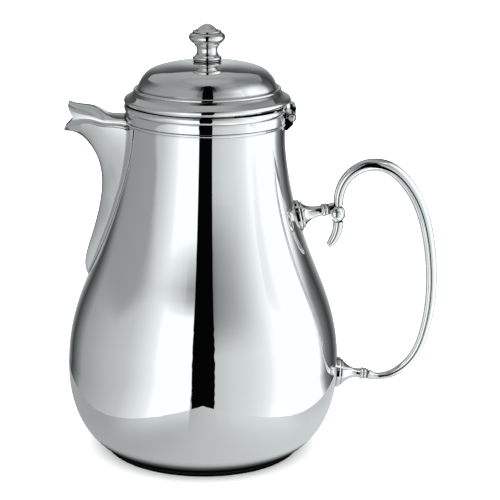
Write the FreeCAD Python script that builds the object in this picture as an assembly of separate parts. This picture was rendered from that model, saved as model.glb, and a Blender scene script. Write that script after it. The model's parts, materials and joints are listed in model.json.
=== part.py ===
"""Coffee pot: a pear-shaped body with a beak spout, a looped handle and a hinged lid.

Millimetres, +Z up. The origin is the centre of the foot's underside. The spout points along -X and
the handle along +X, so the plane y = 0 is the pot's plane of symmetry.
"""
import FreeCAD, Part
import math
import os

V = FreeCAD.Vector
UP = V(0, 0, 1)

# ---------------------------------------------------------------- driving dimensions
WALL = 1.2              # sheet thickness of the body and the spout
LID_WALL = 1.0          # sheet thickness of the lid
SOLDER = 0.03           # gap left for solder between pieces that are joined for good
RUNNING = 0.05          # radial clearance of a part that turns on a pin

# body: (radius, height) stations from the foot to the neck
BODY_OUTLINE = [(53.4, 2.6), (61.9, 10.0), (70.0, 26.0), (72.5, 46.5), (70.4, 68.0), (65.0, 86.5),
                (58.1, 103.5), (51.7, 120.7), (46.6, 138.0), (43.25, 154.6), (41.9, 165.0), (41.6, 174.0)]
NECK_R = BODY_OUTLINE[-1][0]
NECK_Z = BODY_OUTLINE[-1][1]
RIM_Z = 187.0           # top edge of the neck
FLOOR_Z = BODY_OUTLINE[0][1]

FOOT_R, FOOT_WIDTH = 52.3, 3.0
RIM_RING_R, RIM_RING_H = 42.6, 3.2
WIRE_R, WIRE_Z = 0.85, 178.1
BAND_R, BAND_TOP = 42.1, 183.7

# lid: (radius, height) stations of the crown and of the cove below its bead
LID_CROWN = [(0.0, 209.6), (10.0, 209.3), (18.3, 208.3), (25.3, 206.7), (30.3, 204.7), (33.3, 202.0),
             (35.2, 199.1), (36.3, 195.6)]
LID_COVE = [(38.4, 194.5), (39.3, 193.2), (40.9, 192.0), (42.5, 191.1)]
LID_NOSE_R, LID_NOSE_Z = 43.45, 189.6
LID_LIP_R, LID_LIP_Z = 42.9, 188.5
LID_SEAT_R, LID_SEAT_Z = 42.5, 188.0
LID_REST_X = 0.8        # the lid rests this much nearer the hinge than the pot's axis
LID_REST_TILT = 1.0     # degrees by which its hinge side stands proud
BEAD_R, BEAD_Z, BEAD_WIRE = 37.75, 195.1, 0.8
BEZEL_R, BEZEL_DEPTH, BEZEL_GAP = 39.4, 4.0, 140.0

# lid hinge
HINGE_X, HINGE_Z = 44.6, 181.8
KNUCKLE_R, HINGE_PIN_R, HINGE_HALF = 2.3, 0.9, 9.0

# finial: (radius, height) stations between the crisp edges of the turned knob
FINIAL_FOOT_Z = 209.65
FINIAL_TOP = 229.0
STUD_R = 1.6

# handle: (x, z, diameter) stations of the arch, from the ball round to the lower socket
ARCH = [(70.7, 133.2, 4.9), (71.3, 141.0, 5.5), (75.6, 149.4, 5.9), (84.6, 155.0, 6.5),
        (95.6, 154.5, 6.9), (105.6, 147.0, 6.9), (113.0, 135.8, 6.9), (118.4, 119.8, 6.6),
        (121.3, 101.0, 6.2), (121.7, 82.0, 5.9), (119.2, 64.5, 5.4), (113.7, 50.0, 5.1),
        (106.3, 42.1, 4.7), (98.8, 38.6, 4.1), (93.4, 38.1, 4.0)]
BALL_X, BALL_Z, BALL_R = 69.9, 128.9, 4.75
CURL = [(70.9, 124.6, 5.6), (70.5, 120.2, 5.5), (69.2, 116.2, 5.0), (67.2, 112.9, 4.1), (65.7, 111.3, 2.6)]

# sockets: the point where the axis leaves the body, its rise in degrees, and the length to the handle
UPPER_SOCKET = {"x": 49.2, "z": 127.6, "rise": 13.0, "length": 16.3}
LOWER_SOCKET = {"x": 72.3, "z": 40.4, "rise": -3.0, "length": 16.2}
INSULATOR_T = 0.9

# spout: each station is a flat section on a ray that starts at the keel and rises towards the body:
# (keel x, keel z, ray angle, depth and half-width of the lower crease, the same of the upper crease,
# depth of the roof)
SPOUT = [
    (-61.2, 93.0, 0, 4.0, 1.3, 5.0, 1.2, 6.0),
    (-63.5, 100.0, 0, 9.0, 4.6, 11.0, 4.4, 13.0),
    (-61.0, 112.5, 0, 12.5, 8.2, 14.5, 7.9, 17.0),
    (-57.1, 126.0, 0, 14.5, 11.0, 16.5, 10.4, 19.0),
    (-54.5, 141.0, 0, 17.0, 13.6, 19.0, 12.8, 22.0),
    (-55.1, 153.0, 14, 20.0, 14.6, 22.5, 13.4, 26.0),
    (-58.0, 161.0, 37, 22.6, 13.7, 27.4, 12.4, 30.5),
    (-60.9, 165.5, 49, 14.2, 11.6, 18.6, 10.2, 20.9),
    (-64.3, 169.0, 66, 9.4, 9.6, 13.5, 8.2, 17.8),
    (-68.2, 171.1, 82, 5.1, 7.3, 11.4, 6.2, 15.7),
    (-71.6, 171.8, 90, 2.9, 4.9, 12.8, 4.4, 16.5),
    (-75.5, 171.9, 96, 2.0, 2.6, 14.0, 2.4, 17.0),
]
SPOUT_PINCH = 1.1       # how far the band between the creases is drawn in
MOUTH_UPPER = [(-69.6, 189.6), (-71.3, 187.4), (-71.1, 184.0), (-68.9, 180.0)]
MOUTH_LOWER = [(-68.9, 180.0), (-71.2, 176.7), (-73.6, 173.6), (-72.6, 170.6)]

HOLE_R = 1.25           # strainer holes pierced in the wall behind the spout
HOLE_ROWS = [(166.0, 3), (160.5, 4), (155.0, 3), (149.5, 4), (144.0, 3)]
HOLE_STEP = 7.0         # degrees between the holes of a row


# ---------------------------------------------------------------- shared makers
def at(points):
    """Points given as (radius or x, z), placed in the plane y = 0."""
    return [V(x, 0, z) for x, z in points]


def spline(points):
    """A smooth edge through the points."""
    curve = Part.BSplineCurve()
    curve.interpolate(points)
    return curve.toShape()


def offset_point(edge, point, distance):
    """The point moved to the left of the edge's direction, seen with +X to the right and +Z up."""
    along = edge.Curve.tangent(edge.Curve.parameter(point))[0]
    return point + V(-along.z, 0, along.x) * distance


def lines(points):
    return [Part.makeLine(a, b) for a, b in zip(points, points[1:])]


def arc(a, b, c):
    return Part.Arc(a, b, c).toShape()


def face_of(edges):
    return Part.Face(Part.Wire(Part.__sortEdges__(edges)))


def turned(edges):
    """The solid swept by a closed outline in the plane y = 0 as it turns round the Z axis."""
    return face_of(edges).revolve(V(0, 0, 0), UP, 360)


def ring(r_in, r_out, z_low, z_high):
    outer = Part.makeCylinder(r_out, z_high - z_low, V(0, 0, z_low))
    return outer.cut(Part.makeCylinder(r_in, z_high - z_low, V(0, 0, z_low)))


def bar(radius, start, end):
    return Part.makeCylinder(radius, (end - start).Length, start, end - start)


def tapered_rod(stations):
    """A round rod through (x, z, diameter) stations in the plane y = 0."""
    points = [V(x, 0, z) for x, z, _ in stations]
    path = spline(points)
    wires = []
    for point, (_, _, diameter) in zip(points, stations):
        along = path.tangentAt(path.Curve.parameter(point))
        wires.append(Part.Wire(Part.makeCircle(diameter / 2, point, along)))
    return Part.makeLoft(wires, True)


# ---------------------------------------------------------------- body
def body_curve(inset=0.0):
    """The body's outer outline from the foot to the neck, or the same curve inset by a sheet."""
    outline = spline(at(BODY_OUTLINE))
    if not inset:
        return outline
    points = [offset_point(outline, point, inset) for point in at(BODY_OUTLINE)]
    points[-1] = V(NECK_R - inset, 0, NECK_Z)
    return spline(points)


def body_envelope(grow=0.0):
    """The body as a full solid, grown outwards, for cutting the seats of what is soldered on it."""
    outline = body_curve(-grow) if grow else body_curve()
    low, high = outline.Vertexes[0].Point, outline.Vertexes[-1].Point
    top = V(high.x, 0, RIM_Z)
    return turned([outline] + lines([high, top, V(0, 0, RIM_Z), V(0, 0, low.z), low]))


def strainer_holes():
    drills = []
    for row, (z, count) in enumerate(HOLE_ROWS):
        for i in range(count):
            turn = math.radians(180 + (i - (count - 1) / 2) * HOLE_STEP)
            out = V(math.cos(turn), math.sin(turn), 0)
            drills.append(bar(HOLE_R, out * (NECK_R - 10) + UP * z, out * (NECK_R + 16) + UP * z))
    return drills


def make_body():
    outer, inner = body_curve(), body_curve(WALL)
    low_out, low_in = outer.Vertexes[0].Point, inner.Vertexes[0].Point
    high_out, high_in = outer.Vertexes[-1].Point, inner.Vertexes[-1].Point
    rim = lines([high_out, V(high_out.x, 0, RIM_Z), V(high_in.x, 0, RIM_Z), high_in])
    floor = lines([low_in, V(0, 0, low_in.z), V(0, 0, low_out.z), low_out])
    return turned([outer, inner] + rim + floor).cut(strainer_holes())


def make_foot():
    top = FLOOR_Z - SOLDER
    inside = FOOT_R - FOOT_WIDTH
    outline = [(inside, 0), (FOOT_R - 0.4, 0), (FOOT_R, 0.4), (FOOT_R + 0.5, top), (inside, top), (inside, 0)]
    return turned(lines(at(outline)))


def make_rim_ring():
    """Half-round wire round the mouth."""
    seat, low = NECK_R + SOLDER, RIM_Z - RIM_RING_H
    middle = V(RIM_RING_R, 0, RIM_Z - RIM_RING_H / 2)
    a, b = V(NECK_R + 0.35, 0, low), V(NECK_R + 0.55, 0, RIM_Z)
    return turned([arc(a, middle, b)] + lines([b, V(seat, 0, RIM_Z), V(seat, 0, low), a]))


def make_neck_band():
    """Flat band whose upper edge is rounded off, below the rim ring."""
    seat, low = NECK_R + SOLDER, WIRE_Z + WIRE_R + SOLDER
    a, b, c = V(NECK_R + 0.12, 0, BAND_TOP), V(BAND_R - 0.1, 0, BAND_TOP - 1.3), V(BAND_R, 0, BAND_TOP - 2.8)
    return turned([arc(a, b, c)] + lines([c, V(BAND_R, 0, low), V(seat, 0, low), V(seat, 0, BAND_TOP), a]))


def make_neck_wire():
    """Thin round wire that ends the neck mouldings, flattened where it is soldered on."""
    wire = Part.makeTorus(NECK_R - 0.1, WIRE_R, V(0, 0, WIRE_Z))
    return wire.cut(Part.makeCylinder(NECK_R + SOLDER, 4 * WIRE_R, V(0, 0, WIRE_Z - 2 * WIRE_R)))


def mouldings_room():
    """Space taken by the wire, the band and the rim ring, for cutting the pieces that end against them."""
    low = WIRE_Z - WIRE_R - SOLDER
    reach = NECK_R - 0.1 + WIRE_R + SOLDER
    ring_low = RIM_Z - RIM_RING_H - SOLDER
    neck = Part.makeCylinder(reach, RIM_Z - low, V(0, 0, low))
    return neck.fuse(Part.makeCylinder(RIM_RING_R + SOLDER, RIM_Z - ring_low + 0.1, V(0, 0, ring_low)))


# ---------------------------------------------------------------- spout
def spout_section(station, inset=0.0):
    """One closed section: keel and flanks in one curve, a drawn-in band each side, and an arched roof."""
    x, z, angle, low_d, low_w, up_d, up_w, roof_d = station
    ray = V(math.cos(math.radians(angle)), 0, math.sin(math.radians(angle)))
    keel_d = 1.35 * inset
    low_w, up_w, roof_d = max(low_w - inset, 0.25), max(up_w - inset, 0.22), roof_d - inset

    def point(depth, y):
        return V(x, 0, z) + ray * depth + V(0, y, 0)

    flank_d = keel_d + 0.36 * (low_d - keel_d)
    band_d, band_w = (low_d + up_d) / 2, (low_w + up_w) / 2 * (1 - SPOUT_PINCH / 9)
    low, up = point(low_d, low_w), point(up_d, up_w)
    low_m, up_m = point(low_d, -low_w), point(up_d, -up_w)
    keel = spline([low_m, point(flank_d, -0.55 * low_w), point(keel_d, 0), point(flank_d, 0.55 * low_w), low])
    edges = [keel, arc(low, point(band_d, band_w), up), arc(up, point(roof_d, 0), up_m),
             arc(up_m, point(band_d, -band_w), low_m)]
    return Part.Wire(edges)


def mouth_cutter():
    """Everything in front of the two lips and the notch between them, seen from the side."""
    front = [(-69.6, 196.0), (-90.0, 196.0), (-90.0, 160.0), (-72.6, 160.0), MOUTH_LOWER[-1]]
    edges = [spline(at(MOUTH_UPPER)), spline(at(MOUTH_LOWER))] + lines(at([MOUTH_UPPER[0]] + front))
    return face_of(edges).extrude(V(0, 60, 0)).translated(V(0, -30, 0))


def make_spout():
    outer = Part.makeLoft([spout_section(s) for s in SPOUT], True)
    inner = Part.makeLoft([spout_section(s, WALL) for s in SPOUT], True)
    return outer.cut([inner, body_envelope(2 * SOLDER), mouldings_room(), mouth_cutter()])


# ---------------------------------------------------------------- handle
def socket_frame(socket):
    """Start point and direction of a socket's axis, and its end where the insulator begins."""
    rise = math.radians(socket["rise"])
    along = V(math.cos(rise), 0, math.sin(rise))
    start = V(socket["x"], 0, socket["z"])
    return start, along, start + along * socket["length"]


def turned_on_axis(socket, outline):
    """A piece turned round a socket's axis, from (distance along it, radius) edges."""
    start, along, _ = socket_frame(socket)
    solid = face_of(outline).revolve(V(0, 0, 0), V(1, 0, 0), 360)
    solid.rotate(V(0, 0, 0), V(0, 1, 0), -math.degrees(math.atan2(along.z, along.x)))
    return solid.translated(start)


def make_escutcheon(socket, radius):
    """Stepped disc soldered on the body, dished on its back to the body's curve."""
    step = radius - 1.2
    outline = [arc(V(1.9, 0, radius - 0.5), V(1.4, 0, radius), V(0.9, 0, radius)),
               arc(V(3.3, 0, step - 0.4), V(3.0, 0, step), V(2.5, 0, step))]
    outline += lines(at([(2.5, step), (1.9, step), (1.9, radius - 0.5)]))
    outline += lines(at([(0.9, radius), (-2.5, radius), (-2.5, 0), (3.3, 0), (3.3, step - 0.4)]))
    return turned_on_axis(socket, outline).cut(body_envelope(SOLDER))


def make_socket(socket, base_r, neck_r):
    """Trumpet that narrows from the disc to a neck, with a collar at its end."""
    t0, t1 = 3.3 + SOLDER, socket["length"]
    flare = [(t0, base_r), (t0 + 2.4, base_r * 0.68), (t0 + 5.2, neck_r * 1.12), (t1 - 4.6, neck_r)]
    trumpet = spline(at(flare))
    collar = [arc(V(t1 - 3.4, 0, neck_r), V(t1 - 2.5, 0, neck_r + 0.75), V(t1 - 1.6, 0, neck_r + 0.05)),
              arc(V(t1 - 1.6, 0, neck_r + 0.05), V(t1 - 0.9, 0, neck_r + 0.5), V(t1, 0, neck_r + 0.1))]
    rest = lines(at([(t1 - 4.6, neck_r), (t1 - 3.4, neck_r)]))
    rest += lines(at([(t1, neck_r + 0.1), (t1, 0), (t0, 0), (t0, base_r)]))
    solid = turned_on_axis(socket, [trumpet] + collar + rest)
    return solid.cut(handle_pin(socket, SOLDER))


def handle_pin(socket, grow=0.0):
    """Pin through the insulator that holds the handle to its socket."""
    _, along, end = socket_frame(socket)
    return bar(1.0 + grow, end - along * (6.0 + grow), end + along * (INSULATOR_T + 3.0 + grow))


def make_insulator(socket, radius):
    """Disc that keeps the body's heat out of the handle."""
    _, along, end = socket_frame(socket)
    disc = bar(radius, end + along * SOLDER, end + along * (INSULATOR_T - SOLDER))
    return disc.cut(handle_pin(socket, SOLDER))


def behind_insulator(socket):
    """A block that fills the socket's side of the plane where the handle starts."""
    _, along, end = socket_frame(socket)
    face = end + along * INSULATOR_T
    return bar(8.0, face - along * 12.0, face)


def make_ball():
    """Ball with a short boss that meets the upper insulator."""
    _, along, end = socket_frame(UPPER_SOCKET)
    ball = Part.makeSphere(BALL_R, V(BALL_X, 0, BALL_Z))
    boss = bar(2.9, end + along * INSULATOR_T, end + along * (INSULATOR_T + 2.6))
    joined = ball.fuse(boss).removeSplitter()
    return joined.cut([behind_insulator(UPPER_SOCKET), handle_pin(UPPER_SOCKET, SOLDER)])


def make_arch():
    """The looped arm, with a swelling and a collar where it meets the lower insulator."""
    _, along, end = socket_frame(LOWER_SOCKET)
    face = end + along * INSULATOR_T
    stations = ARCH + [(91.0, 38.55, 4.9), (face.x - 0.2 * along.x, face.z - 0.2 * along.z, 5.3)]
    arm = tapered_rod(stations)
    ball = Part.makeSphere(BALL_R + SOLDER, V(BALL_X, 0, BALL_Z))
    return arm.cut([ball, behind_insulator(LOWER_SOCKET), handle_pin(LOWER_SOCKET, SOLDER)])


def make_curl():
    """Scroll that hangs from the ball and ends in a blunt tip."""
    return tapered_rod(CURL).cut(Part.makeSphere(BALL_R + SOLDER, V(BALL_X, 0, BALL_Z)))


# ---------------------------------------------------------------- lid
def lid_at_rest(shape):
    """A piece drawn round the pot's axis, moved to where the lid rests."""
    placed = shape.copy()
    placed.rotate(V(0, 0, LID_NOSE_Z), V(0, 1, 0), -LID_REST_TILT)
    return placed.translated(V(LID_REST_X, 0, 0))


def lid_edge(grow):
    """Closed outline of the lid's rolled edge, filled in to the axis and grown outwards."""
    seat_z, top = LID_SEAT_Z - grow, at(LID_COVE)[-1] + V(grow, 0, grow)
    lip = V(LID_LIP_R + grow, 0, LID_LIP_Z - grow)
    nose = arc(top, V(LID_NOSE_R + grow, 0, LID_NOSE_Z), lip)
    return [nose] + lines([lip, V(LID_SEAT_R, 0, seat_z), V(0, 0, seat_z), V(0, 0, top.z), top])


def make_lid_dome():
    """Crown, cove and rolled nose in one sheet, with the flat underside that seats on the rim."""
    bead_seat = V(37.15, 0, 195.1)
    crown = spline(at(LID_CROWN))
    cove = spline([bead_seat] + at(LID_COVE))
    lip = V(LID_LIP_R, 0, LID_LIP_Z)
    nose = arc(at(LID_COVE)[-1], V(LID_NOSE_R, 0, LID_NOSE_Z), lip)
    inner_crown = spline([offset_point(crown, point, -LID_WALL) for point in at(LID_CROWN)])
    top, top_in = V(0, 0, LID_CROWN[0][1]), inner_crown.Vertexes[0].Point
    step = lines([at(LID_CROWN)[-1], bead_seat])
    under = lines([lip, V(LID_SEAT_R, 0, LID_SEAT_Z), V(BEZEL_R + SOLDER, 0, LID_SEAT_Z),
                   V(BEZEL_R + SOLDER, 0, 191.6), V(36.0, 0, 193.9), inner_crown.Vertexes[-1].Point])
    axis = lines([top_in, V(0, 0, top_in.z), top])
    sheet = turned([crown, cove, nose, inner_crown] + step + under + axis)
    return sheet.cut(bar(STUD_R + SOLDER, V(0, 0, 200), V(0, 0, 220)))


def make_lid_bead():
    """Wire laid in the step between the crown and the cove."""
    wire = Part.makeTorus(BEAD_R, BEAD_WIRE, V(0, 0, BEAD_Z))
    return wire.cut(make_lid_dome())


def make_lid_bezel():
    """Collar that steadies the lid in the mouth, cut away towards the hinge so that it swings clear."""
    low = RIM_Z - BEZEL_DEPTH
    collar = ring(BEZEL_R - 0.9, BEZEL_R, low, 191.5)
    gap = Part.makeCylinder(60, 12, V(0, 0, low - 1), UP, BEZEL_GAP)
    gap.rotate(V(0, 0, 0), UP, -BEZEL_GAP / 2)
    return collar.cut(gap)


def make_finial():
    """Turned knob: cap, ring, mushroom, collar, waist and foot, with a stud below."""
    foot, top = FINIAL_FOOT_Z, FINIAL_TOP
    edges = [
        arc(V(0, 0, top), V(2.6, 0, 228.1), V(4.6, 0, 226.4)),
        spline(at([(4.6, 226.4), (5.9, 225.8), (6.8, 225.5)])),
        arc(V(6.8, 0, 225.5), V(7.5, 0, 225.0), V(7.3, 0, 224.4)),
        spline(at([(7.3, 224.4), (9.2, 223.1), (9.5, 221.8), (8.8, 220.2), (6.6, 218.5)])),
        arc(V(6.6, 0, 218.5), V(6.5, 0, 217.8), V(5.8, 0, 217.2)),
        spline(at([(5.8, 217.2), (5.4, 215.0), (5.8, 213.2), (6.6, 212.2)])),
        arc(V(6.6, 0, 212.2), V(7.5, 0, 211.1), V(6.9, 0, 210.3)),
        arc(V(6.9, 0, 210.3), V(7.2, 0, 210.0), V(7.1, 0, foot)),
    ]
    edges += lines(at([(7.1, foot), (STUD_R, foot), (STUD_R, 203.2), (0, 203.2), (0, top)]))
    return turned(edges)


def make_finial_washer():
    top = LID_CROWN[0][1] - LID_WALL - 0.15
    return ring(STUD_R + SOLDER, 5.0, top - 0.8, top)


def make_finial_nut():
    """Hexagonal nut on the finial's stud, inside the lid."""
    size, height = 3.6, 2.4
    top = LID_CROWN[0][1] - LID_WALL - 1.0
    turns = [math.radians(60 * i) for i in range(7)]
    corners = [V(size * math.cos(turn), size * math.sin(turn), top - height) for turn in turns]
    nut = Part.Face(Part.makePolygon(corners)).extrude(V(0, 0, height))
    return nut.cut(bar(STUD_R + SOLDER, V(0, 0, 200), V(0, 0, 212)))


# ---------------------------------------------------------------- hinge
BODY_KNUCKLES = [(-HINGE_HALF, -5.7), (-1.8, 1.8), (5.7, HINGE_HALF)]
LID_KNUCKLES = [(-5.5, -2.0), (2.0, 5.5)]


def knuckles(spans, radius):
    return [bar(radius, V(HINGE_X, a, HINGE_Z), V(HINGE_X, b, HINGE_Z)) for a, b in spans]


def make_body_hinge():
    """Leaf soldered on the neck, with three knuckles."""
    web = [Part.makeBox(HINGE_X - 40.0, b - a, 3.6, V(40.0, a, HINGE_Z - 3.9)) for a, b in BODY_KNUCKLES]
    outline = [(40.0, 175.2), (42.3, 175.2), (45.3, 178.3), (45.4, 178.9), (40.0, 178.9), (40.0, 175.2)]
    leaf = face_of(lines(at(outline))).extrude(V(0, 2 * HINGE_HALF, 0)).translated(V(0, -HINGE_HALF, 0))
    solid = leaf.fuse(web + knuckles(BODY_KNUCKLES, KNUCKLE_R)).removeSplitter()
    neck = Part.makeCylinder(NECK_R + SOLDER, 30, V(0, 0, 168))
    bore = knuckles([(-12, 12)], HINGE_PIN_R + SOLDER)
    swing = knuckles([(a - 0.15, b + 0.15) for a, b in LID_KNUCKLES], KNUCKLE_R + 0.35)
    return solid.cut([neck, mouldings_room()] + bore + swing)


def make_lid_hinge():
    """Leaf under the lid's nose, with two knuckles that turn on the pin."""
    web = [Part.makeBox(2.1, b - a, 4.7, V(HINGE_X, a, HINGE_Z)) for a, b in LID_KNUCKLES]
    outline = [(43.5, 186.0), (46.9, 186.0), (46.9, 186.6), (46.3, 187.3), (45.0, 187.6), (44.6, 189.0),
               (43.5, 189.0), (43.5, 186.0)]
    plate = face_of(lines(at(outline))).extrude(V(0, 16.4, 0)).translated(V(0, -8.2, 0))
    solid = plate.fuse(web + knuckles(LID_KNUCKLES, KNUCKLE_R)).removeSplitter()
    envelope = lid_at_rest(turned(lid_edge(SOLDER)))
    ring_room = Part.makeCylinder(RIM_RING_R + 0.3, 9, V(0, 0, 179.0))
    bore = knuckles([(-12, 12)], HINGE_PIN_R + RUNNING)
    return solid.cut([envelope, ring_room] + bore)


def make_hinge_pin():
    """Pin with a small domed head each end."""
    pin = bar(HINGE_PIN_R, V(HINGE_X, -HINGE_HALF - 0.05, HINGE_Z), V(HINGE_X, HINGE_HALF + 0.05, HINGE_Z))
    heads = []
    for side in (-1, 1):
        centre = V(HINGE_X, side * (HINGE_HALF - 0.75), HINGE_Z)
        cap = Part.makeSphere(2.0, centre)
        keep = bar(3, centre + V(0, side * 0.78, 0), centre + V(0, side * 3.75, 0))
        heads.append(cap.common(keep))
    return pin.fuse(heads).removeSplitter()


# ---------------------------------------------------------------- assembly
PIECES = {
    "body": make_body,
    "foot_ring": make_foot,
    "rim_ring": make_rim_ring,
    "neck_band": make_neck_band,
    "neck_wire": make_neck_wire,
    "spout": make_spout,
    "upper_escutcheon": lambda: make_escutcheon(UPPER_SOCKET, 8.4),
    "lower_escutcheon": lambda: make_escutcheon(LOWER_SOCKET, 8.3),
    "upper_socket": lambda: make_socket(UPPER_SOCKET, 6.2, 2.9),
    "lower_socket": lambda: make_socket(LOWER_SOCKET, 6.4, 2.6),
    "upper_insulator": lambda: make_insulator(UPPER_SOCKET, 2.9),
    "lower_insulator": lambda: make_insulator(LOWER_SOCKET, 2.6),
    "upper_handle_pin": lambda: handle_pin(UPPER_SOCKET),
    "lower_handle_pin": lambda: handle_pin(LOWER_SOCKET),
    "handle_arch": make_arch,
    "handle_ball": make_ball,
    "handle_curl": make_curl,
    "body_hinge_leaf": make_body_hinge,
    "hinge_pin": make_hinge_pin,
    "lid_dome": make_lid_dome,
    "lid_bead": make_lid_bead,
    "lid_bezel": make_lid_bezel,
    "lid_hinge_leaf": make_lid_hinge,
    "finial": make_finial,
    "finial_washer": make_finial_washer,
    "finial_nut": make_finial_nut,
}

DRAWN_ROUND_AXIS = ("lid_dome", "lid_bead", "lid_bezel", "finial", "finial_washer", "finial_nut")

os.makedirs("parts", exist_ok=True)
for name, make in PIECES.items():
    shape = lid_at_rest(make()) if name in DRAWN_ROUND_AXIS else make()
    solids = shape.Solids
    print(name, "solids", len(solids), "valid", shape.isValid(), "volume", round(shape.Volume, 1))
    result = solids[0] if len(solids) == 1 else Part.makeCompound(solids)
    result.exportStep(f"parts/{name}.step")
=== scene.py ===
"""Looks of the coffee pot: silver surfaces, the spout's flange, studio and camera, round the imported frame."""
import json
import math

import bpy
import numpy as np
from mathutils import Matrix, Vector
from mathutils.bvhtree import BVHTree


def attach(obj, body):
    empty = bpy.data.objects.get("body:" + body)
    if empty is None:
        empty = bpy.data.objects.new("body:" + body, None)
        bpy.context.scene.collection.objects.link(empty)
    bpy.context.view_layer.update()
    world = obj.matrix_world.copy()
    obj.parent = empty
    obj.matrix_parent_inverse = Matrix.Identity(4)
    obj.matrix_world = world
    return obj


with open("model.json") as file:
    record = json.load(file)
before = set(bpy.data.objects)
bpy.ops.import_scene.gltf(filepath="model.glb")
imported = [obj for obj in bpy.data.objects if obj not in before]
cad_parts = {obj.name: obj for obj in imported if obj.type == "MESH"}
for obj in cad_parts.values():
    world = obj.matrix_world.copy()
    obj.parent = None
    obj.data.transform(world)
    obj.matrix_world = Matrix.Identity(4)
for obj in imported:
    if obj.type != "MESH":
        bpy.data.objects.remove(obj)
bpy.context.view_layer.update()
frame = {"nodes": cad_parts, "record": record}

MM = 0.001      # lengths below are millimetres, as in the CAD, unless a comment says otherwise


def mixed(first, second, share):
    return first + (second - first) * share


# ---------------------------------------------------------------- materials
SILVER_TINT = (0.93, 0.93, 0.925)
# painted shade: the near black that joints and grooves are darkened to
CREVICE_PAINTED_SHADE = (0.05, 0.05, 0.05)
FULL_PAINTED_SHADE_AT, NO_PAINTED_SHADE_AT = 0.45, 0.93                   # how open a spot is to its surroundings, 1 for a flat: the painted shade is full below the first and gone above the second
NOISE_LOW, NOISE_HIGH = 0.3, 0.7                        # where nearly all of a noise pattern lies
MIX_SHARE, MIX_FIRST, MIX_SECOND, MIX_COLOUR = 0, 6, 7, 2   # the Mix node's sockets for colours


def node(tree, kind, **settings):
    """New node; a setting is an input of that name, or else one of the node's own properties."""
    made = tree.nodes.new(kind)
    for key, value in settings.items():
        if key in made.inputs:
            made.inputs[key].default_value = value
        else:
            setattr(made, key, value)
    return made


def noise(tree, coords, scale, detail):
    made = node(tree, "ShaderNodeTexNoise", Scale=scale, Detail=detail)
    tree.links.new(coords, made.inputs["Vector"])
    return made.outputs["Fac"]


def spread(tree, value, low, high, from_low=NOISE_LOW, from_high=NOISE_HIGH):
    """Remap a pattern onto the range from low to high."""
    made = node(tree, "ShaderNodeMapRange")
    made.inputs["From Min"].default_value = from_low
    made.inputs["From Max"].default_value = from_high
    made.inputs["To Min"].default_value = low
    made.inputs["To Max"].default_value = high
    tree.links.new(value, made.inputs["Value"])
    return made.outputs["Result"]


def blend_colours(tree, share, first, second):
    made = node(tree, "ShaderNodeMix", data_type="RGBA")
    made.inputs[MIX_FIRST].default_value = (*first, 1)
    made.inputs[MIX_SECOND].default_value = (*second, 1)
    tree.links.new(share, made.inputs[MIX_SHARE])
    return made.outputs[MIX_COLOUR]


def with_painted_crevice_shade(tree, colour, reach_mm):
    """Painted shade: darken the colour in joints and grooves, as far as ambient occlusion finds them closed in.
    """
    nook = node(tree, "ShaderNodeAmbientOcclusion", Distance=reach_mm * MM, samples=8)
    dark = node(tree, "ShaderNodeMix", data_type="RGBA")
    dark.inputs[MIX_FIRST].default_value = (*CREVICE_PAINTED_SHADE, 1)
    tree.links.new(colour, dark.inputs[MIX_SECOND])
    openness = spread(tree, nook.outputs["AO"], 0, 1, FULL_PAINTED_SHADE_AT, NO_PAINTED_SHADE_AT)
    tree.links.new(openness, dark.inputs[MIX_SHARE])
    return dark.outputs[MIX_COLOUR]


def surface(name, tint, worn, metallic, rough, rough_worn, grain, bump_mm, painted_shade_reach_mm=0.0, patch=18.0):
    """Procedural surface: cloudy wear in colour and roughness, a fine bump of the given depth, and, where a
    reach is given, painted shade in joints and grooves.
    """
    material = bpy.data.materials.new(name)
    material.use_nodes = True
    tree = material.node_tree
    shader = tree.nodes["Principled BSDF"]
    coords = node(tree, "ShaderNodeTexCoord").outputs["Object"]
    clouds = noise(tree, coords, patch, 4.0)
    fine = noise(tree, coords, grain, 2.0)
    shader.inputs["Metallic"].default_value = metallic
    colour = blend_colours(tree, spread(tree, clouds, 0, 1), tint, worn)
    # painted shade in joints and grooves, found by ambient occlusion over the given reach
    if painted_shade_reach_mm:
        colour = with_painted_crevice_shade(tree, colour, painted_shade_reach_mm)
    tree.links.new(colour, shader.inputs["Base Color"])
    tree.links.new(spread(tree, clouds, rough, rough_worn), shader.inputs["Roughness"])
    bump = node(tree, "ShaderNodeBump", Strength=1.0, Distance=bump_mm * MM)
    tree.links.new(fine, bump.inputs["Height"])
    tree.links.new(bump.outputs["Normal"], shader.inputs["Normal"])
    return material


# silver and cast silver get painted shade in their joints and grooves, over the given reach in mm
silver = surface("silver", SILVER_TINT, worn=(0.91, 0.91, 0.90), metallic=1.0,
                 rough=0.004, rough_worn=0.012, grain=60.0, bump_mm=0.0005, painted_shade_reach_mm=1.6)
cast_silver = surface("cast_silver", (0.92, 0.92, 0.915), worn=(0.88, 0.88, 0.87), metallic=1.0,
                      rough=0.008, rough_worn=0.025, grain=220.0, bump_mm=0.0012, painted_shade_reach_mm=1.2)
nylon = surface("nylon", (0.035, 0.032, 0.03), worn=(0.06, 0.055, 0.05), metallic=0.0,
                rough=0.4, rough_worn=0.55, grain=900.0, bump_mm=0.02)
steel = surface("steel", (0.62, 0.62, 0.61), worn=(0.5, 0.5, 0.49), metallic=1.0,
                rough=0.22, rough_worn=0.35, grain=700.0, bump_mm=0.006)
brass = surface("brass", (0.72, 0.56, 0.28), worn=(0.5, 0.38, 0.2), metallic=1.0,
                rough=0.25, rough_worn=0.42, grain=500.0, bump_mm=0.01)
SLOT_MATERIALS = {"silver_body": silver, "silver_lid": silver, "silver_fittings": cast_silver,
                  "insulator": nylon, "steel_pin": steel, "brass_nut": brass}
slots = {part["node"]: part["material_slot"] for part in frame["record"]["subparts"]}
for name, obj in frame["nodes"].items():
    obj.data.materials.clear()
    obj.data.materials.append(SLOT_MATERIALS[slots[name]])

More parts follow.
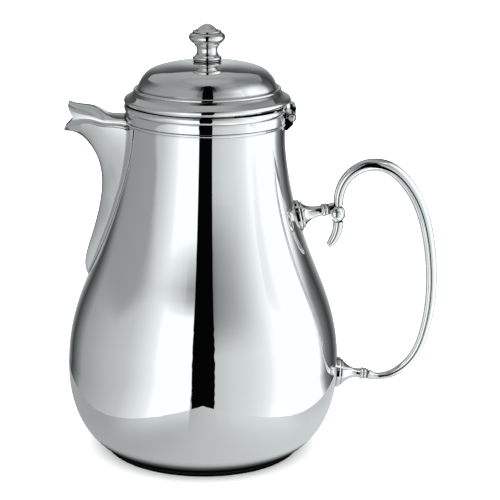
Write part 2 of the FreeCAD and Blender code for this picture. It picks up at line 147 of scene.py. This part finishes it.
# ---------------------------------------------------------------- spout flange
# Fillet that runs round the spout's seat on the body. Each outline goes from its top down to its tip, as
# height and distance to the side: of its outer rim, and of the line where it meets the spout.
FLANGE_RIM = [(176.8, 19.6), (164.0, 17.6), (140.0, 13.4), (123.0, 10.4), (108.0, 7.6), (99.0, 4.4),
              (95.6, 2.0), (95.0, 0.0)]
FLANGE_SEAT = [(175.0, 15.2), (164.0, 14.1), (143.0, 11.6), (126.0, 8.4), (110.0, 5.2), (101.0, 3.0),
               (97.5, 1.4), (96.8, 0.0)]
FLANGE_PROUD = 0.1, 0.6       # how far its rim stands off the body, at its tip and along its sides
FLANGE_CLIMB = 0.3, 2.6       # how far it climbs the spout, at its tip and along its sides
FLANGE_TIP = 6.0              # it thins out where its seat is nearer the middle than this
FLANGE_SUNK = 0.3             # how far its rim goes into the body
FLANGE_LIP = 0.1              # height of the band that keeps its rim's edge crisp
FLANGE_FLARE = 0.4            # how far the corner of its hollow curve lies outside the spout's flank
FLANGE_TUCK = 0.5             # how far its upper edge goes into the spout
FLANGE_STEPS = 30             # cross-sections on each side
FLANGE_ARC = 6                # steps of the hollow curve in one cross-section
FLAT_TIP = 1.0                # nearer the middle than this, its seat meets no flank of the spout
PAST_SPOUT, BESIDE_SPOUT = -150, 60     # outside the pot, where the searches for its walls start


def smooth_line(points, count):
    """Evenly spaced points along a NURBS curve through the control points."""
    curve = bpy.data.curves.new("line", "CURVE")
    curve.dimensions = "3D"
    run = curve.splines.new("NURBS")
    run.points.add(len(points) - 1)
    for place, (height, aside) in zip(run.points, points):
        place.co = (0, aside, height, 1)
    run.order_u = 3
    run.use_endpoint_u = True
    run.resolution_u = 12
    obj = bpy.data.objects.new("line", curve)
    mesh = bpy.data.meshes.new_from_object(obj)
    drawn = np.array([(v.co.z, v.co.y) for v in mesh.vertices])
    bpy.data.objects.remove(obj)
    steps = np.r_[0, np.cumsum(np.hypot(*np.diff(drawn, axis=0).T))]
    spots = np.linspace(0, steps[-1], count)
    return np.stack([np.interp(spots, steps, drawn[:, 0]), np.interp(spots, steps, drawn[:, 1])], 1)


def wall_finder(name):
    """Search for the first wall of a node from a point in a direction."""
    mesh = frame["nodes"][name].data
    tree = BVHTree.FromPolygons([v.co for v in mesh.vertices], [p.vertices for p in mesh.polygons])

    def find(start, direction):
        hit = tree.ray_cast(Vector(start) * MM, Vector(direction))[0]
        return None if hit is None else hit / MM
    return find


def flange_row(on_body, on_spout, rim_place, seat_place):
    """One cross-section: out of the body, over the rim, then in a hollow curve up the spout's flank."""
    rim_z, rim_y = rim_place
    seat_z, seat_y = seat_place
    full = min(1.0, seat_y / FLANGE_TIP)
    proud = mixed(*FLANGE_PROUD, full)
    climb = mixed(*FLANGE_CLIMB, full)
    skin = on_body((PAST_SPOUT, rim_y, rim_z), (1, 0, 0))
    out = Vector((skin.x, skin.y, 0)).normalized()
    foot = on_body((PAST_SPOUT, seat_y, seat_z), (1, 0, 0))
    flank = on_spout((foot.x - climb, BESIDE_SPOUT, seat_z), (0, -1, 0)) if seat_y > FLAT_TIP else None
    top = Vector((foot.x - climb, flank.y if flank else seat_y, seat_z))
    corner = Vector((foot.x - proud, top.y + FLANGE_FLARE * full, seat_z))
    shoulder = skin + out * proud
    row = [skin - out * FLANGE_SUNK, shoulder - out * FLANGE_LIP, shoulder]
    for step in range(1, FLANGE_ARC + 1):
        share = step / FLANGE_ARC
        row.append(shoulder.lerp(corner, share).lerp(corner.lerp(top, share), share))
    row.append(top - Vector((0, FLANGE_TUCK * full, 0)))
    return row


def spout_flange():
    """Sweep the cross-section down one side and up the other, in one piece."""
    on_body, on_spout = wall_finder("body"), wall_finder("spout")
    rim, seat = smooth_line(FLANGE_RIM, FLANGE_STEPS), smooth_line(FLANGE_SEAT, FLANGE_STEPS)
    rows = [flange_row(on_body, on_spout, *places) for places in zip(rim, seat)]
    rows += [[Vector((p.x, -p.y, p.z)) for p in row] for row in reversed(rows[:-1])]
    width = len(rows[0])
    verts = [p * MM for row in rows for p in row]
    faces = [(i * width + j, (i + 1) * width + j, (i + 1) * width + j + 1, i * width + j + 1)
             for i in range(len(rows) - 1) for j in range(width - 1)]
    mesh = bpy.data.meshes.new("spout_flange")
    mesh.from_pydata(verts, [], faces)
    mesh.shade_smooth()
    mesh.materials.append(silver)
    flange = bpy.data.objects.new("spout_flange", mesh)
    bpy.context.scene.collection.objects.link(flange)
    smooth = flange.modifiers.new("smooth", "SUBSURF")
    smooth.levels = smooth.render_levels = 2
    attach(flange, "pot")


spout_flange()

# ---------------------------------------------------------------- studio
# A tent of white paper stands round the pot, with a slit for the camera. The silver mirrors it, so its
# paper is shaded: shades are display levels, 255 for white, by azimuth in degrees from the camera's side,
# to the right. Azimuths 0 and 1 stand for the two edges of the slit.
TENT_R, TENT_TOP = 200, 560
SLIT = 8.6                                   # half-angle of the slit
FOOT_SHADES = {-180: 215, -150: 210, -127: 65, -105: 155, -60: 195, -35: 250, 0: 250, 1: 205, 60: 250,
               98: 250, 108: 125, 124: 60, 150: 205, 180: 215}
WAIST_SHADES = {-180: 215, -165: 150, -142: 65, -115: 145, -60: 155, -25: 160, 0: 105, 1: 90, 20: 145,
                50: 210, 70: 250, 107: 250, 115: 145, 134: 55, 155: 140, 180: 215}
CROWN_SHADES = {-180: 168, -90: 145, -40: 150, 0: 15, 1: 15, 32: 142, 60: 155, 110: 122, 180: 168}
WAIST_HEIGHTS = 100, 140                     # where the foot's shade gives way to the waist's
FRONT_WAIST_HEIGHTS = 245, 305               # the same in front, where the tent bulges
FRONT_FROM, FRONT_TO = 45, 75                # azimuths over which front gives way to side
BACK_FROM, BACK_TO = 80, 130                 # azimuths over which side gives way to back
BULGE_R, BULGE_TOP = 400, 335                # radius of the bulge in front, and its height
SEAM_HEIGHTS = {-180: 376, -160: 334, -135: 265, -60: 400, 0: 400, 90: 350, 120: 305, 160: 347, 180: 376}
SEAM_SOFT, SEAM_SHARP = 70, 4                # how gradually the crown begins there, in front and at the back
SEAM_SHADE, SEAM_DARKENS = 74, 130           # at the back the paper darkens to this over this height below it
HEM_FRONT, HEM_BACK = 200, 165               # how far out the table's edge lies in front and behind
HEM_LEFT, HEM_RIGHT = 114, 121               # where it comes nearest, on the left and on the right
HEM_NEAREST, HEM_OUT = 68, 145               # azimuths where it is nearest, and where it is back out
HEM_GLOW, HEM_GLOW_FROM = 0.5, 0.55          # share of the wall's shade the table takes there, and from where
WINDOW_TO, WINDOW_TOP = 60, 340              # right of the slit the tent is open, up to this height
FRONT_R, FRONT_REACH = 2000, 2500            # wall seen through it, and how far up and down it goes
FRONT_SPAN = -60, 80                         # azimuths between which it stands
DARK_TO = 9.4                                # the dark behind the camera ends here on that wall
FRONT_SHADES = {10: 198, 15: 200, 25: 211, 40: 220, 50: 231, 60: 247, 70: 254}
FRONT_TOP_SHADES = {10: 115, 12: 128, 15: 138, 20: 146, 30: 162, 40: 184, 50: 210, 60: 238, 70: 250}
FRONT_HEIGHTS = 250, 1200                    # where the front's shade gives way to its top's
ROOF_SHADES = {0: 168, 60: 163, 95: 160, 130: 155, 165: 146}                # by distance from the axis
ROOF_EDGE = 150                              # from this distance out, slit and walls carry on in the roof
TABLE_SHADES = {-90: 160, -45: 170, 0: 189, 50: 205, 90: 207, 125: 196}     # by distance to the right
CONTACT_SHADE = {53: 0.0, 56: 0.35, 58: 0.62, 60: 0.9, 63: 1.0}             # share of it, from the axis out
FOOT_R, CONTACT_R = 52, 70                   # the table is finely stepped between the foot and here
TURN_STEP, WALL_STEP, TABLE_STEP, FRONT_STEP = 0.4, 5, 10, 100
TABLE_RAISED, HEM_RAISED = 0.1, 0.3          # small heights that keep floor, table and tent apart
GLARE_FROM, GLARE = 240, 1.12                # white paper outshines white, so that it also mirrors white
PAPER_TINT = (0.945, 1.0, 1.005)
DARK = 4
WORLD_STRENGTH = 2.2


def along(stops, value):
    return float(np.interp(value, sorted(stops), [stops[key] for key in sorted(stops)]))


def ease(value, start, stop):
    """Smooth step from 0 at the start to 1 at the stop."""
    share = min(max((value - start) / (stop - start), 0.0), 1.0)
    return share * share * (3 - 2 * share)


def frontness(azimuth):
    return 1 - ease(abs(azimuth), FRONT_FROM, FRONT_TO)


def shade_at(stops, azimuth):
    """Shade by azimuth; it is dark in the slit, whose edges have their own stops."""
    if -SLIT < azimuth < SLIT:
        return DARK
    if azimuth < 0:
        return along(stops, azimuth + SLIT if azimuth > -2 * SLIT else azimuth)
    return along(stops, max(azimuth - SLIT, 1) if azimuth < 2 * SLIT else azimuth)


def wall_shade(azimuth, height):
    foot = shade_at(FOOT_SHADES, azimuth)
    waist = shade_at(WAIST_SHADES, azimuth)
    crown = shade_at(CROWN_SHADES, azimuth)
    seam = along(SEAM_HEIGHTS, azimuth)
    front = frontness(azimuth)
    back = ease(abs(azimuth), BACK_FROM, BACK_TO)
    soft = mixed(SEAM_SOFT, SEAM_SHARP, back)
    change = [mixed(side, ahead_of, front) for side, ahead_of in zip(WAIST_HEIGHTS, FRONT_WAIST_HEIGHTS)]
    lower = mixed(foot, waist, ease(height, *change))
    darkened = ease(height, seam - SEAM_DARKENS, seam - SEAM_SHARP)
    lower = mixed(lower, min(SEAM_SHADE, lower), back * darkened)
    return mixed(lower, crown, ease(height, seam - soft, seam + soft))


def front_shade(azimuth, height):
    if abs(azimuth) < DARK_TO:
        return DARK
    low = along(FRONT_SHADES, abs(azimuth))
    return mixed(low, along(FRONT_TOP_SHADES, abs(azimuth)), ease(height, *FRONT_HEIGHTS))


def roof_shade(azimuth, radius):
    if abs(azimuth) < SLIT and radius > ROOF_EDGE:
        return DARK
    return mixed(along(ROOF_SHADES, radius), wall_shade(azimuth, TENT_TOP), ease(radius, ROOF_EDGE, TENT_R))


def hem_reach(azimuth):
    """Distance of the table's edge from the axis: it bows in on both sides, and has a point in front."""
    nearest = HEM_LEFT if azimuth < 0 else HEM_RIGHT
    turned = min(abs(azimuth) / HEM_NEAREST, 1.0)
    front = mixed(nearest, HEM_FRONT, (1 - turned) ** 2)
    return mixed(front, HEM_BACK, ease(abs(azimuth), HEM_NEAREST, HEM_OUT))


def table_shade(azimuth, radius):
    across = radius * math.sin(math.radians(azimuth))
    shade = along(TABLE_SHADES, across) * along(CONTACT_SHADE, radius)
    near_hem = ease(radius, HEM_GLOW_FROM * hem_reach(azimuth), hem_reach(azimuth))
    wall = shade_at(FOOT_SHADES, azimuth) if abs(azimuth) > SLIT else shade
    return mixed(shade, wall, HEM_GLOW * near_hem * frontness(azimuth))


def linear(level):
    """Display level 0..255 to the light that shows as that level after one reflection in silver."""
    share = level / 255
    light = ((share + 0.055) / 1.055) ** 2.4 if share > 0.04045 else share / 12.92
    return light / SILVER_TINT[0] * mixed(1.0, GLARE, ease(level, GLARE_FROM, 255))


def paper(name):
    """Material that glows with the mesh's own shades."""
    material = bpy.data.materials.new(name)
    material.use_nodes = True
    tree = material.node_tree
    tree.nodes.remove(tree.nodes["Principled BSDF"])
    glow = node(tree, "ShaderNodeEmission", Color=(*PAPER_TINT, 1))
    shades = node(tree, "ShaderNodeAttribute", attribute_name="glow")
    tree.links.new(shades.outputs["Fac"], glow.inputs["Strength"])
    tree.links.new(glow.outputs["Emission"], tree.nodes["Material Output"].inputs["Surface"])
    return material


def glowing_ring(name, rings, start=-180, end=180, window_top=None):
    """Paper swept round the pot, seen only in reflections; a ring gives radius, height and shade."""
    azimuths = np.arange(start, end + 0.01, TURN_STEP)
    verts, levels = [], []
    for azimuth in azimuths:
        turn = math.radians(azimuth)
        for radius_at, height, shade in rings:
            radius = radius_at(azimuth) * MM
            verts.append((radius * math.sin(turn), -radius * math.cos(turn), height * MM))
            levels.append(linear(shade(azimuth)))
    count = len(rings)
    faces = [(i * count + j, (i + 1) * count + j, (i + 1) * count + j + 1, i * count + j + 1)
             for i in range(len(azimuths) - 1) for j in range(count - 1)
             if not (window_top and rings[j + 1][1] <= window_top and -SLIT <= azimuths[i] < WINDOW_TO)]
    mesh = bpy.data.meshes.new(name)
    mesh.from_pydata(verts, [], faces)
    mesh.attributes.new("glow", "FLOAT", "POINT").data.foreach_set("value", levels)
    mesh.materials.append(paper(name))
    obj = bpy.data.objects.new(name, mesh)
    bpy.context.scene.collection.objects.link(obj)
    obj.visible_camera = False
    obj.visible_diffuse = False
    obj.visible_shadow = False


def constant(value):
    return lambda azimuth: value


def tent_wall():
    """Paper from the table's edge up; below the bulge's top it stands further out in front."""
    def bulge(azimuth):
        return mixed(TENT_R, BULGE_R, frontness(azimuth))

    rings = [(hem_reach, HEM_RAISED, lambda azimuth: wall_shade(azimuth, 0))]
    for height in range(0, TENT_TOP + 1, WALL_STEP):
        radius_at = bulge if height < BULGE_TOP else constant(TENT_R)
        rings.append((radius_at, height, lambda azimuth, height=height: wall_shade(azimuth, height)))
    glowing_ring("tent_wall", rings, window_top=WINDOW_TOP)


def tent_roof():
    rings = []
    for radius in range(0, TENT_R + 1, WALL_STEP):
        rings.append((constant(radius), TENT_TOP, lambda azimuth, radius=radius: roof_shade(azimuth, radius)))
    glowing_ring("tent_roof", rings)


def tent_table():
    """Table top, cut off along the hem."""
    rings = []
    for radius in [0, *range(FOOT_R, CONTACT_R), *range(CONTACT_R, TENT_R + 1, TABLE_STEP)]:
        rings.append((lambda azimuth, radius=radius: min(radius, hem_reach(azimuth) + 1), TABLE_RAISED,
                      lambda azimuth, radius=radius: table_shade(azimuth, radius)))
    glowing_ring("tent_table", rings)


def front_wall():
    """Far wall behind the camera, seen through the slit and the window."""
    rings = []
    for height in range(-FRONT_REACH, FRONT_REACH + 1, FRONT_STEP):
        rings.append((constant(FRONT_R), height, lambda azimuth, height=height: front_shade(azimuth, height)))
    glowing_ring("front_wall", rings, *FRONT_SPAN)


def floor_sheet(half_width):
    """Matt white floor, in metres; it is left out of reflections, where the tent's table stands for it."""
    material = bpy.data.materials.new("floor_paper")
    material.use_nodes = True
    shader = material.node_tree.nodes["Principled BSDF"]
    shader.inputs["Base Color"].default_value = (0.95, 0.95, 0.95, 1)
    shader.inputs["Roughness"].default_value = 0.9
    shader.inputs["Specular IOR Level"].default_value = 0.0
    mesh = bpy.data.meshes.new("floor")
    corners = [(-1, -1), (1, -1), (1, 1), (-1, 1)]
    mesh.from_pydata([(x * half_width, y * half_width, 0) for x, y in corners], [], [(0, 1, 2, 3)])
    mesh.materials.append(material)
    floor = bpy.data.objects.new("floor", mesh)
    bpy.context.scene.collection.objects.link(floor)
    floor.visible_glossy = False


def soft_daylight():
    """Even white light from everywhere, for the floor and for what isn't mirrored."""
    world = bpy.data.worlds.new("studio")
    bpy.context.scene.world = world
    world.use_nodes = True
    world.node_tree.nodes["Background"].inputs["Color"].default_value = (1, 1, 1, 1)
    world.node_tree.nodes["Background"].inputs["Strength"].default_value = WORLD_STRENGTH
    bpy.context.scene.view_settings.view_transform = "Standard"


tent_wall()
tent_roof()
tent_table()
front_wall()
floor_sheet(6.0)
soft_daylight()

# ---------------------------------------------------------------- camera
CAMERA_AT = Vector((0.0, -0.90213, 0.35249))                # metres
YAW, PITCH, ROLL = math.radians(1.540), math.radians(15.137), math.radians(0.981)
LENS, SENSOR = 126.3168, 36.0                               # focal length and sensor width


def aim_camera():
    """Look from the front and a little from above, with a slight turn and roll."""
    ahead = Vector((math.sin(YAW) * math.cos(PITCH), math.cos(YAW) * math.cos(PITCH), -math.sin(PITCH)))
    level_right = Vector((math.cos(YAW), -math.sin(YAW), 0))
    level_up = level_right.cross(ahead)
    right = math.cos(ROLL) * level_right + math.sin(ROLL) * level_up
    up = -math.sin(ROLL) * level_right + math.cos(ROLL) * level_up
    lens = bpy.data.cameras.new("camera")
    lens.sensor_width = SENSOR
    lens.lens = LENS
    camera = bpy.data.objects.new("camera", lens)
    camera.matrix_world = Matrix((right, up, -ahead)).transposed().to_4x4()
    camera.location = CAMERA_AT
    bpy.context.scene.collection.objects.link(camera)
    bpy.context.scene.camera = camera


aim_camera()
